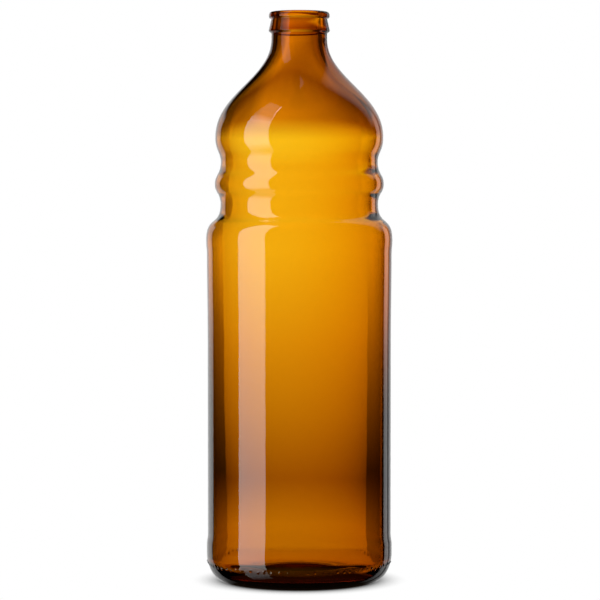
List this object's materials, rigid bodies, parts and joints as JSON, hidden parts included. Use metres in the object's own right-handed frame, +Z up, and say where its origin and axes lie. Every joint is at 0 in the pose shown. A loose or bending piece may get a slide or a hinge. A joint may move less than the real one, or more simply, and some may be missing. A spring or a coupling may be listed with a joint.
{
  "type": "oil bottle",
  "caption": "Empty amber glass bottle with a ringed lip, short neck, sloping shoulder, two waists and a long plain label panel.",
  "frame": {"origin": "centre of the bottle's base, on the surface it stands on", "axes": "+Z up along the bottle's axis of revolution, through the mouth; +X and +Y are any two level directions"},
  "size_m": [0.0868, 0.0868, 0.265],
  "materials": {
    "amber_glass": "clear amber container glass, fire-polished and glossy"
  },
  "bodies": {
    "root": {"bottle": "amber_glass"}
  },
  "joints": []
}
